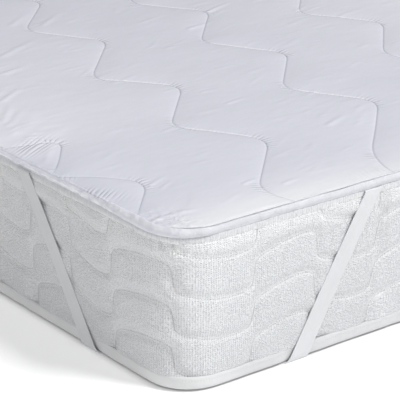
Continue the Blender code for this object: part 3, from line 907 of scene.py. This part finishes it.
def close_ends(obj):
    """One flat face over each open end, with the strap's groove cut into the lower one."""
    bm = bmesh.new()
    bm.from_mesh(obj.data)
    bmesh.ops.holes_fill(bm, edges=[e for e in bm.edges if e.is_boundary], sides=0)
    for side_x, side_y in CORNERS:
        corner = Vector((side_x * HALF_X, side_y * HALF_Y, 0))
        inward = Vector((-side_x, -side_y, 0)).normalized()
        for out in GROOVE_EDGES:
            faces = [f for f in bm.faces if all(v.co.z < ON_FLOOR for v in f.verts)]
            parts = faces + [e for f in faces for e in f.edges] + [v for f in faces for v in f.verts]
            bmesh.ops.bisect_plane(bm, geom=list(dict.fromkeys(parts)), plane_co=corner + inward * out,
                                   plane_no=inward, dist=1e-5)
    for v in bm.verts:
        if v.co.z < ON_FLOOR and in_groove(v.co):
            v.co.z = GROOVE_RISE
    bmesh.ops.recalc_face_normals(bm, faces=bm.faces[:])
    bm.to_mesh(obj.data)
    bm.free()


body = mattress()
smooth(body, 50)
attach(body, "root")
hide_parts("mattress_body")
print("mattress:", len(body.data.polygons), "faces")

# %% [markdown]
# ## The elastic straps
#
# Each strap is one flat ribbon of elastic. It comes out from under the binding on one side, slants
# down over the lower tape, runs straight under the corner and climbs the other side the same way.
# It is drawn tight, so it stands off the soft side and touches it only where the cover swells.

# %% A strap's way down one side
STRAP_THICK = 0.0011
LONG_TOP, SHORT_TOP = 0.318, 0.296  # from the corner to a strap's upper ends, on the two sides
RIBBED_WIDTH = 0.034  # the elastic's ribs are spread over this width
STRAP_TAB_HEIGHT = 0.2088 - 0.0003 - STRAP_THICK / 2
STRAP_UNDER_HEIGHT = 0.0002 + STRAP_THICK / 2


def strap_width(height):
    """The elastic is a little narrower than the space that it has."""
    return 0.0320 - 0.0040 * height / MATTRESS_HEIGHT


def strap_side(top):
    """The near edge's way down one side: rows of along the mattress's edge, out and height."""
    hang, bend = 0.0056, 0.0016  # how far out it hangs, and the radius of its bend
    low, foot = BOTTOM_EDGE_RADIUS, 0.0147  # where it starts to go under the tape, and that bend's radius
    wrap = math.asin((low - STRAP_UNDER_HEIGHT) / foot)
    rows = [(top, -0.012, STRAP_TAB_HEIGHT), (top, 0.0000, STRAP_TAB_HEIGHT)]
    for angle in np.linspace(0, math.pi / 2, 6):
        rows.append((top, hang - bend + bend * math.sin(angle),
                     STRAP_TAB_HEIGHT - bend * (1 - math.cos(angle))))
    high = STRAP_TAB_HEIGHT - bend
    slope = (top - FOOT_EDGE) / (high - low + foot * wrap)
    for share in np.linspace(0, 1, 45)[1:]:
        height = high + (low - high) * share
        out = hang + (foot - low - hang) * share - 0.0014 * math.sin(math.pi * share)
        rows.append((top - slope * (high - height), out, height))
    for angle in np.linspace(0, wrap, 9)[1:]:
        rows.append((top - slope * (high - low + foot * angle), foot * math.cos(angle) - low,
                     low - foot * math.sin(angle)))
    return rows


print("a strap's way down one side:", len(strap_side(LONG_TOP)), "rows of points")


# %% One ribbon from its two sides
def strap_path(row, off_edge, side_x, side_y, on_long_side):
    """A point on a strap's side run, off_edge metres further from the corner than its near edge."""
    along, out, height = row
    if on_long_side:
        return side_x * (HALF_X + out), side_y * (HALF_Y - along - off_edge), height
    return side_x * (HALF_X - along - off_edge), side_y * (HALF_Y + out), height


def strap(name, side_x, side_y):
    """A flat ribbon down the long side, under the corner and up the short side, and its length."""
    long_side, short_side = strap_side(LONG_TOP), strap_side(SHORT_TOP)
    across = np.linspace(0, 1, 9)
    edge_rows = []
    for share in across:
        down = [strap_path(row, share * strap_width(row[2]), side_x, side_y, True) for row in long_side]
        up = [strap_path(row, share * strap_width(row[2]), side_x, side_y, False)
              for row in reversed(short_side)]
        start, end = np.array(down[-1]), np.array(up[0])
        under = [tuple(start + (end - start) * t) for t in np.linspace(0, 1, 9)[1:-1]]
        edge_rows.append(down + under + up)
    place = np.array(edge_rows)
    obj, column, row = flat_grid(name, place.shape[1] - 1, len(across) - 1)
    middle = place[len(across) // 2]
    length = np.concatenate([[0], np.cumsum(np.linalg.norm(np.diff(middle, axis=0), axis=1))])
    put_points(obj, place[row, column])
    keep_place(obj, length[column], (across[row] - 0.5) * RIBBED_WIDTH)
    edit(obj, face_out)
    return obj, float(length[-1])


def thicken(obj, thickness):
    pick(obj)
    wall = obj.modifiers.new("wall", "SOLIDIFY")
    wall.thickness, wall.offset, wall.use_even_offset = thickness, 0, True
    bpy.ops.object.modifier_apply(modifier=wall.name)


# %% The four straps
straps = []
for name, (side_x, side_y) in zip(("front_left", "front_right", "back_right", "back_left"), CORNERS):
    ribbon, ribbon_length = strap(f"strap_{name}", side_x, side_y)
    thicken(ribbon, STRAP_THICK)
    smooth(ribbon, 40)
    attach(ribbon, "root")
    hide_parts(f"corner_strap_{name}")
    straps.append(ribbon)
print("straps:", len(straps), "each", round(ribbon_length, 3), "m long")

# %% [markdown]
# ## Finishes
#
# Everything here is white cloth, so what tells the pieces apart is their weave. Each finish is built
# from shader nodes. To keep that readable, the small class below wraps a node's output, and arithmetic
# on it adds Math nodes, so a height or a colour can be written as a formula.

# %% Formulas made of shader nodes
class Signal:
    """An output of a shader node that can be used in arithmetic."""

    def __init__(self, finish, socket):
        self.finish, self.socket = finish, socket

    def math(self, operation, *others):
        return self.finish.math(operation, self, *others)

    def __add__(self, other):
        return self.math("ADD", other)

    def __mul__(self, other):
        return self.math("MULTIPLY", other)

    def __sub__(self, other):
        return self.math("SUBTRACT", other)

    def __rsub__(self, other):
        return self.finish.math("SUBTRACT", other, self)

    def __truediv__(self, other):
        return self.math("DIVIDE", other)

    def __rtruediv__(self, other):
        return self.finish.math("DIVIDE", other, self)

    def __abs__(self):
        return self.math("ABSOLUTE")

    __radd__, __rmul__ = __add__, __mul__

    def at_least(self, low):
        return self.math("MAXIMUM", low)

    def at_most(self, high):
        return self.math("MINIMUM", high)

    def clipped(self):
        """The same value, kept between 0 and 1."""
        return self.at_least(0.0).at_most(1.0)

    def past(self, start, over):
        """0 up to the start, then rising to 1 over so many metres."""
        return ((self - start) / over).clipped()


# %% A finish and its nodes
class Finish:
    """A material with one Principled shader, and the ways to make nodes in it."""

    def __init__(self, name, **constants):
        self.material = bpy.data.materials.new(name)
        self.material.use_nodes = True
        self.tree = self.material.node_tree
        self.shader = self.tree.nodes["Principled BSDF"]
        self.feed(self.shader, {key.replace("_", " "): value for key, value in constants.items()})

    def feed(self, node, inputs):
        for name, value in inputs.items():
            if isinstance(value, Signal):
                self.tree.links.new(value.socket, node.inputs[name])
            else:
                node.inputs[name].default_value = value

    def node(self, kind, settings=None, inputs=None, output=0):
        made = self.tree.nodes.new(kind)
        for name, value in (settings or {}).items():
            setattr(made, name, value)
        self.feed(made, inputs or {})
        return Signal(self, made.outputs[output])

    def math(self, operation, *values):
        return self.node("ShaderNodeMath", {"operation": operation}, dict(enumerate(values)))

    def place(self, uv_map):
        """The two numbers that a mesh keeps as this UV map."""
        pair = self.node("ShaderNodeUVMap", {"uv_map": uv_map})
        return tuple(self.node("ShaderNodeSeparateXYZ", inputs={0: pair}, output=k) for k in (0, 1))

    def point(self, x, y, z=0.0):
        return self.node("ShaderNodeCombineXYZ", inputs={0: x, 1: y, 2: z})

    def noise(self, where, scale, detail=2.0, roughness=0.5):
        """Soft random values from about -0.5 to 0.5."""
        inputs = {"Vector": where, "Scale": scale, "Detail": detail, "Roughness": roughness}
        return self.node("ShaderNodeTexNoise", inputs=inputs) - 0.5

    def ripple(self, value, step):
        """A wave from -1 to 1 that repeats every step metres."""
        return (value * (2 * math.pi / step)).math("SINE")

    def fade(self, distance, reach):
        """1 at the middle, and falling off past the reach."""
        return (distance * distance * (-1 / reach**2)).math("EXPONENT")

    def blend(self, share, first, second):
        return self.node("ShaderNodeMix", {"data_type": "RGBA"}, {0: share, 6: first, 7: second}, output=2)

    def raise_by(self, height):
        """Turns a height in metres into the shader's normal."""
        normal = self.node("ShaderNodeBump", inputs={"Height": height, "Strength": 1.0, "Distance": 1.0})
        self.feed(self.shader, {"Normal": normal})

    def look(self, colour, roughness):
        self.feed(self.shader, {"Base Color": colour, "Roughness": roughness})


def dress(obj, finish):
    obj.data.materials.clear()
    obj.data.materials.append(finish.material)


# %% [markdown]
# ### The quilted cloth
#
# The pad's cloth is a fine plain weave with a faint blue whitener. Its threads are 0.7 mm apart.
# Beside each stitch the cloth is gathered into tiny ridges that run away from the line, and the
# straps and the near corner gather it into larger ones.

# %% Gathers
def gathers(finish, x, y, start, degrees, step, wide, long):
    """Round ridges with sharp valleys between them, side by side, from a place in one direction."""
    cos, sin = math.cos(math.radians(degrees)), math.sin(math.radians(degrees))
    gap_x, gap_y = x - start[0], y - start[1]
    ahead = gap_x * cos + gap_y * sin
    aside = gap_y * cos - gap_x * sin
    bend = finish.noise(finish.point(ahead * 12.0, aside * 60.0), 1.0) * (step * 1.2)
    ridges = abs(finish.ripple(aside + bend, 2 * step))
    return ridges * finish.fade(aside, wide) * finish.fade(ahead - long * 0.42, long * 0.42)


# %% The pad's weave and its lines of stitches
THREAD_STEP, STITCH_LENGTH = 0.0007, 0.0032
quilted = Finish("quilted_cloth", Roughness=0.72, Sheen_Weight=0.12, Sheen_Roughness=0.45,
                 Specular_IOR_Level=0.28)
x, y = quilted.place("cloth")
gap, along = quilted.place("stitches")
comb, _ = quilted.place("combs")
lit_side, leaning = quilted.place("sides")
where = quilted.point(x, y)
weave = quilted.ripple(x, THREAD_STEP) * quilted.ripple(y, THREAD_STEP)
crease = (gap * (-1 / 0.0010)).math("EXPONENT")
thread = quilted.fade(gap, 0.0006) * (quilted.ripple(along, STITCH_LENGTH) * 0.5 + 0.75).at_most(1.0)
tiny_ridges = quilted.noise(quilted.point(along, gap * 0.12), 260.0) * quilted.fade(gap, 0.0045)
print("weave and stitches:", len(quilted.tree.nodes), "nodes")

# %% The pad's gathers and creases
# All four corners are finished alike, so these places count from the middle of the mattress.
mirrored_x, mirrored_y = abs(x), abs(y)
bent = along + quilted.noise(quilted.point(along, gap), 60.0) * 0.006
uneven = (quilted.noise(quilted.point(along, 0.0), 90.0) * 3.0 + 0.75).at_least(0.0)
ridges = abs(quilted.ripple(bent, 0.0125)) * quilted.fade(gap - 0.006, 0.008) * comb * uneven
soft_creases = quilted.noise(quilted.point(x * 0.35, y), 95.0, 3.0)
pulled = (gathers(quilted, mirrored_x, mirrored_y, (0.500, 0.655), 208, 0.0066, 0.019, 0.078) * 0.0014
          + gathers(quilted, mirrored_x, mirrored_y, (0.512, 0.835), 212, 0.0066, 0.036, 0.030) * 0.0012
          + gathers(quilted, mirrored_x, mirrored_y, (0.180, 1.000), 265, 0.0080, 0.030, 0.026) * 0.0007)
at_corner = quilted.fade(mirrored_x - 0.490, 0.030) * quilted.fade(mirrored_y - 0.972, 0.048)
puckers = quilted.noise(where, 105.0, 3.0)
quilted.raise_by(weave * 0.000008 - crease * 0.0006 + thread * 0.0002 + tiny_ridges * 0.0007
                 + ridges * 0.0013 + soft_creases * 0.00040 + quilted.noise(where, 26.0, 3.0) * 0.0012
                 + puckers * at_corner * 0.0042 + pulled)
print("with gathers and creases:", len(quilted.tree.nodes), "nodes")

# %% [markdown]
# Along the pad's ends, and along its sides past the straps, the cloth is painted whiter: a painted
# highlight, mixed with a random tone. Beside a line of stitches one side of the groove catches the
# light and the other is dull. How strongly depends on which way the line leans. The grooves are so
# narrow that the mesh alone shows this too faintly, so the colour paints it as well: a painted
# highlight on the lit side, and painted shade on the dull side and along the thread.

# %% The pad's colours
PLAIN_CLOTH, EDGE_LIT_CLOTH = (0.765, 0.775, 0.855, 1), (0.865, 0.870, 0.935, 1)
END_LIT_CLOTH, LIT_CLOTH = (0.955, 0.96, 0.975, 1), (0.98, 0.98, 0.99, 1)
GROOVE_SHADE_COLOUR, SEAM_SHADE_COLOUR = (0.50, 0.52, 0.66, 1), (0.54, 0.55, 0.60, 1)
past_end = mirrored_y - HALF_Y
to_end = (past_end * -1.0).at_least(0.0)
to_side = (HALF_X - mirrored_x).at_least(0.0)
past_strap = to_end.past(0.30, 0.12)
end_middle = quilted.fade(0.35 - mirrored_x, 0.30)
cloud = quilted.noise(where, 7.0, 2.0) + 0.5
# Painted highlight along the pad's ends and along its sides past the straps, mixed with a random tone; the
# middle of each end is painted whiter still.
edge_light_and_tone = (quilted.fade(to_end, 0.060) * end_middle * 0.95
        + (quilted.fade(to_side, 0.11) * 0.85 + quilted.fade(to_side, 0.32) * 0.48) * past_strap
        + cloud * 0.25).at_most(1.0)
edge_lit_cloth = quilted.blend(edge_light_and_tone, PLAIN_CLOTH, EDGE_LIT_CLOTH)
edge_lit_cloth = quilted.blend(quilted.fade(to_end, 0.030) * end_middle * 0.8, edge_lit_cloth, END_LIT_CLOTH)

# Painted highlight on the lit side of each groove, painted shade on its dull side and along the thread, and
# painted shade along the sides near the straps.
lying = (0.5 - leaning).clipped()
painted_lit_edge = (quilted.fade(gap - 0.0017, 0.0012) * (lit_side * 2.2).clipped() * (lying * 0.75 + 0.25)
               * (quilted.ripple(along, 2 * STITCH_LENGTH) * 0.2 + 0.8)
               * (1.0 - quilted.fade(to_side, 0.17) * 0.85))
painted_dull_edge = quilted.fade(gap - 0.0014, 0.0011) * (lit_side * -2.2).clipped() * (lying * 0.22 + 0.10)
side_shade = quilted.fade(to_side, 0.028) * (1.0 - past_strap) * 0.16
shaded = (quilted.fade(gap, 0.0008) * (0.46 - lying * 0.40) + painted_dull_edge + side_shade + weave * 0.03
          + 0.03).at_most(1.0)
cloth = quilted.blend(shaded, edge_lit_cloth, GROOVE_SHADE_COLOUR)
# Painted shade on the outer edge of the rim at both ends, where it turns down into the seam.
cloth = quilted.blend(past_end.past(0.0026, 0.0014) * (0.14 + cloud * 0.30), cloth, SEAM_SHADE_COLOUR)
# Painted highlights on the puckers near the corners.
pucker_glints = (puckers * at_corner * 5.0).at_least(0.0)
quilted.look(quilted.blend((painted_lit_edge + pucker_glints).at_most(1.0), cloth, LIT_CLOTH), 0.68 + cloud * 0.08)
dress(pad, quilted)
print("quilted cloth:", len(quilted.tree.nodes), "nodes")

# %% [markdown]
# ### Binding and tapes
#
# The binding is a twill strip, whose threads make fine slanting lines. The lower tape is ribbed
# across, and a row of stitches holds it near its upper edge. The upper one is a soft knit with
# wider ribs, and its colour is painted darker where it goes in under the binding: a painted shade.

# %% Binding cloth
bound = Finish("binding_twill", Roughness=0.7, Sheen_Weight=0.10, Sheen_Roughness=0.45,
               Specular_IOR_Level=0.3)
run, up = bound.place("cloth")
short_side = (run * 9.0 + 0.6).clipped()
twill = bound.ripple(run + up, 0.0009)
small_folds = bound.noise(bound.point(run, up * 0.35), 130.0, 3.0)
lumps = bound.noise(bound.point(run, up * 0.8), 70.0, 3.0)
bound.raise_by(twill * 0.000018 + small_folds * 0.0014 + lumps * (0.0034 - short_side * 0.0012))
cloud = bound.noise(bound.point(run, up), 30.0) + 0.5
rising = up.past(0.0160, 0.0055)
# Painted light and shade: the strip's upper part, which faces up, is painted lighter, and its lower part,
# which curves under, darker. The short side's colours are darker than the long side's, another painted shade.
lower = bound.blend(short_side, (0.70, 0.705, 0.78, 1), (0.67, 0.675, 0.72, 1))
upper = bound.blend(short_side, (0.90, 0.91, 0.985, 1), (0.72, 0.725, 0.77, 1))
cloth = bound.blend(rising, lower, upper)
# Painted highlights: glints about 0.2 m along the long side and on the lumps, mixed with a random tone.
glints = bound.fade(run + 0.20, 0.09)
white = (cloud * 0.5 + lumps * (2.0 - short_side * 1.1 + glints * 1.9) + glints * 0.40
         - short_side * 0.10 - 0.04).at_least(0.0)
bound.look(bound.blend(white, cloth, (0.93, 0.94, 0.985, 1)), 0.66 + cloud * 0.08)
dress(binding, bound)
print("binding cloth:", len(bound.tree.nodes), "nodes")

# %% Ribbed tape
ribbed = Finish("ribbed_tape", Roughness=0.66, Sheen_Weight=0.08, Sheen_Roughness=0.5,
                Specular_IOR_Level=0.3)
run, up = ribbed.place("cloth")
ribs = ribbed.ripple(run, 0.0013)
row_of_stitches = ribbed.fade(up - 0.0205, 0.0006) * (ribbed.ripple(run, 0.0036) + 0.4).at_most(1.0)
ribbed.raise_by(ribs * 0.00004 + ribbed.noise(ribbed.point(run, up * 0.3), 90.0, 3.0) * 0.0009
                - row_of_stitches * 0.0003)
cloud = ribbed.noise(ribbed.point(run, up), 22.0) + 0.5
# Painted light and shade: lighter at the near corner and darker along the short side.
pale = (cloud * 0.8 + ribs * 0.05 - row_of_stitches * 0.4 + ribbed.fade(run, 0.06) * 0.7
        - run.past(0.04, 0.05) * 0.5 + 0.15)
ribbed.look(ribbed.blend(pale, (0.67, 0.675, 0.685, 1), (0.77, 0.775, 0.78, 1)), 0.62 + cloud * 0.08)
dress(lower_tape, ribbed)
print("ribbed tape:", len(ribbed.tree.nodes), "nodes")

# %% Upper tape
edge_knit = Finish("knitted_tape", Roughness=0.85, Sheen_Weight=0.15, Sheen_Roughness=0.5,
                   Specular_IOR_Level=0.25)
run, up = edge_knit.place("cloth")
lumps = edge_knit.noise(edge_knit.point(run, up * 0.4), 260.0, 2.0)
ribs = edge_knit.ripple(run + lumps * 0.004, 0.0036) * (1.0 - edge_knit.fade(run + 0.30, 0.20) * 0.7)
edge_knit.raise_by(ribs * 0.00013 + lumps * 0.0014)
pale = edge_knit.blend(lumps * 2.4 + ribs * 0.2 + 0.5, (0.71, 0.72, 0.74, 1), (0.92, 0.925, 0.935, 1))
# Painted shade: darker towards the top, where it goes in under the binding, and a little more around 0.25 m
# along the long side.
shade_under_binding = up.past(0.003, 0.007) * 0.40 + edge_knit.fade(run + 0.25, 0.17) * 0.14
edge_knit.look(edge_knit.blend(shade_under_binding, pale, (0.50, 0.51, 0.535, 1)), 0.82 + lumps * 0.1)
dress(upper_tape, edge_knit)
print("upper tape:", len(edge_knit.tree.nodes), "nodes")

# %% [markdown]
# ### The knitted cover
#
# The mattress's side is a thick knit: upright columns of loops about 3 mm wide, with tufts rough
# enough to catch the light. The quilting thread pulls a narrow crease and a row of small pits into
# it. Both follow the same waves as the mesh, so the material works out its distance to them.

# %% The cover's waves of stitches
knit = Finish("knitted_cover", Roughness=0.85, Sheen_Weight=0.15, Sheen_Roughness=0.5,
              Specular_IOR_Level=0.25)
run, up = knit.place("cloth")
turn = (run - WAVE_RISE) * (2 * math.pi / WAVE_REPEAT)
sharp = turn.math("SINE") * SQUARENESS
drift = turn - DRIFT_LAG
wave_now = (sharp.math("ARCTANGENT") * (STEP_HEIGHT / math.atan(SQUARENESS))
            + drift.math("SINE") * DRIFT_HEIGHT)
steep = (turn.math("COSINE") / (sharp * sharp + 1.0) * (STEP_HEIGHT * SQUARENESS / math.atan(SQUARENESS))
         + drift.math("COSINE") * DRIFT_HEIGHT) * (2 * math.pi / WAVE_REPEAT)
row_gap = ((up - ROW_HEIGHT - wave_now) / ROW_STEP + 0.5).math("FRACT") - 0.5
gap = abs(row_gap * ROW_STEP / (steep * steep + 1.0).math("SQRT"))
PIT_STEP = 2 * (STEP_HEIGHT + DRIFT_HEIGHT * math.cos(DRIFT_LAG)) / 12
climbing = turn.math("COSINE").math("SIGN")
pits = knit.fade(gap, 0.0009) * (knit.ripple(run + climbing * wave_now, PIT_STEP) * 1.6).at_least(0.0)
print("pits every", round(PIT_STEP * 1000, 1), "mm")

# %% The cover's loops and colours
rim = knit.fade(gap - 0.0016, 0.0016)
shoulder = knit.fade(up - 0.196, 0.015)
near_corner = knit.fade(run, 0.11)
loops = (knit.ripple(run, 0.0030) * (knit.ripple(up, 0.0027) + 0.8) * (near_corner * 0.75 + 0.25)
         + knit.ripple(run + up * 0.7, 0.0033) * knit.ripple(run - up * 0.9, 0.0037) * (1.0 - near_corner))
grain = knit.noise(knit.point(run, up * 1.2), 420.0, 1.0, 0.6)
tufts = knit.noise(knit.point(run, up), 190.0, 2.0)
ribs = knit.ripple(run, 0.0040) * shoulder
knit.raise_by(loops * 0.00034 + grain * 0.0023 + tufts * 0.0014 + ribs * 0.00022
              - knit.fade(gap, 0.0013) * 0.0004 - pits * 0.0003)
# Painted shade: the short side is painted darker, most at mid-height.
short_side = run.past(0.03, 0.05) * (knit.fade(up - 0.135, 0.045) * 0.08 + 0.09)
# Lighter near the near corner, a painted highlight, and darker towards the bottom.
pale = knit.blend(grain * 2.5 + tufts * 0.5 + loops * 0.38 + knit.fade(run - 0.008, 0.040) * 0.30
                  - knit.fade(up, 0.085) * 0.32 - short_side + 0.59,
                  (0.67, 0.68, 0.70, 1), (0.93, 0.94, 0.965, 1))
# Painted highlights on the rims beside each line of stitches and on the top shoulder.
painted_rim_light = knit.blend((rim * 0.45 + shoulder * 0.45).at_most(1.0), pale, (0.95, 0.955, 0.955, 1))
# Painted shade in the pits of the stitches.
knit.look(knit.blend((pits * 0.24).at_most(1.0), painted_rim_light, (0.42, 0.43, 0.45, 1)), 0.82 + tufts * 0.1)
dress(body, knit)
print("knitted cover:", len(knit.tree.nodes), "nodes")

# %% [markdown]
# ### Elastic
#
# The straps are flat woven elastic: rubber threads lie lengthwise under a smooth white yarn, which
# leaves faint ribs along the strap.

# %% Elastic
elastic = Finish("woven_elastic", Roughness=0.58, Sheen_Weight=0.08, Sheen_Roughness=0.4,
                 Specular_IOR_Level=0.35)
run, side = elastic.place("cloth")
ribs = elastic.ripple(side, 0.0021)
yarn = elastic.ripple(run + abs(ribs) * 0.0004, 0.0011)
elastic.raise_by(ribs * 0.00006 + yarn * 0.00003
                 + elastic.noise(elastic.point(run * 0.2, side), 160.0) * 0.0003)
cloud = elastic.noise(elastic.point(run * 0.4, side), 60.0) + 0.5
# Painted light: each strap is painted lighter towards its upper end on the short side.
pale = cloud * 0.8 + ribs * 0.08 + yarn * 0.05 + elastic.fade(run - 0.80, 0.11) * 0.55 + 0.1
elastic.look(elastic.blend(pale, (0.66, 0.67, 0.685, 1), (0.735, 0.745, 0.765, 1)), 0.54 + cloud * 0.08)
for ribbon in straps:
    dress(ribbon, elastic)
print("elastic:", len(elastic.tree.nodes), "nodes")

# %% [markdown]
# ### The floor
#
# The floor glows only beside the mattress, so that it's as white as the background. Under the
# mattress a glow would light its bottom edge from below, and the dark line there would be lost.

# %% Floor
paper = Finish("white_floor", Roughness=0.9, Specular_IOR_Level=0.1, Emission_Strength=0.32)
where = paper.node("ShaderNodeTexCoord", output=3)
across, along = (paper.node("ShaderNodeSeparateXYZ", inputs={0: where}, output=k) for k in (0, 1))
out_x = (abs(across) - (HALF_X - CORNER_RADIUS)).at_least(0.0)
out_y = (abs(along) - (HALF_Y - CORNER_RADIUS)).at_least(0.0)
gap = (out_x * out_x + out_y * out_y).math("SQRT") - CORNER_RADIUS
glow = gap.past(-0.005, 0.015)
paper.feed(paper.shader, {"Base Color": (0.87, 0.87, 0.87, 1),
                          "Emission Color": paper.blend(glow, (0, 0, 0, 1), (1, 1, 1, 1))})
dress(floor, paper)
print("finishes:", [f.material.name for f in (quilted, bound, ribbed, edge_knit, knit, elastic, paper)])
